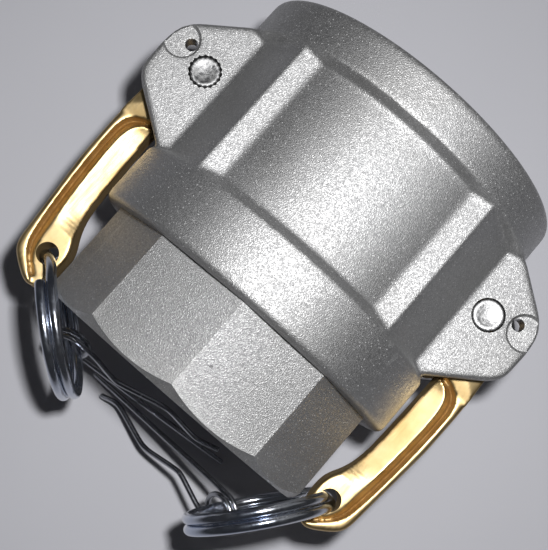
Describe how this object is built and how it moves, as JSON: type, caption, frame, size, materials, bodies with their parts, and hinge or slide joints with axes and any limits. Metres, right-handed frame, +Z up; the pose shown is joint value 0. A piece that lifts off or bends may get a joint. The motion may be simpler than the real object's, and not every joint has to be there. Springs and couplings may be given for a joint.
{
  "type": "camlock coupling",
  "caption": "Cast aluminium camlock coupler with two brass cam arms, split rings and safety clips, a gasket in its cup and a female thread end.",
  "frame": {"origin": "under the middle of the part's outer box, on the plane that its rim and collar lie on", "axes": "+Y along the coupling's axis towards the cup's mouth, +X across it towards the right arm, +Z up along the arms' pivot pins"},
  "size_m": [0.0858, 0.0841, 0.066],
  "materials": {
    "cast_aluminium": "blasted grey casting",
    "nitrile_rubber": "matt moulded rubber",
    "brass": "tumbled forged brass",
    "pin_steel": "cropped pin end",
    "zinc_steel": "bright zinc plate",
    "clip_wire": "bright spring wire"
  },
  "bodies": {
    "coupler": {"body": "cast_aluminium", "gasket": "nitrile_rubber", "pivot_pin_left": "pin_steel", "pivot_pin_right": "pin_steel"},
    "arm_left": {"cam_arm_left": "brass"},
    "arm_right": {"cam_arm_right": "brass"},
    "ring_left": {"split_ring_left": "zinc_steel"},
    "ring_right": {"split_ring_right": "zinc_steel"},
    "clip_left": {"safety_clip_left": "clip_wire"},
    "clip_right": {"safety_clip_right": "clip_wire"}
  },
  "joints": [
    {"name": "arm_left_swing", "type": "hinge", "parent": "coupler", "child": "arm_left", "pos_m": [-0.0332, 0.02216, 0.033], "axis": [0, 0, -1], "range_deg": [0, 110]},
    {"name": "arm_right_swing", "type": "hinge", "parent": "coupler", "child": "arm_right", "pos_m": [0.0332, 0.02216, 0.033], "axis": [0, 0, 1], "range_deg": [0, 110]},
    {"name": "ring_left_swing", "type": "hinge", "parent": "arm_left", "child": "ring_left", "pos_m": [-0.03365, -0.02054, 0.033], "axis": [0, 0, -1], "range_deg": [0, 105]},
    {"name": "ring_right_swing", "type": "hinge", "parent": "arm_right", "child": "ring_right", "pos_m": [0.03365, -0.02054, 0.033], "axis": [0, 0, 1], "range_deg": [0, 105]},
    {"name": "clip_left_swing", "type": "hinge", "parent": "ring_left", "child": "clip_left", "pos_m": [-0.02185, -0.03062, 0.02019], "axis": [-0.2891, 0.8125, -0.5063], "range_deg": [0, 4]},
    {"name": "clip_right_swing", "type": "hinge", "parent": "ring_right", "child": "clip_right", "pos_m": [0.02115, -0.03581, 0.02189], "axis": [-0.3865, -0.669, 0.6349], "range_deg": [0, 90]}
  ]
}
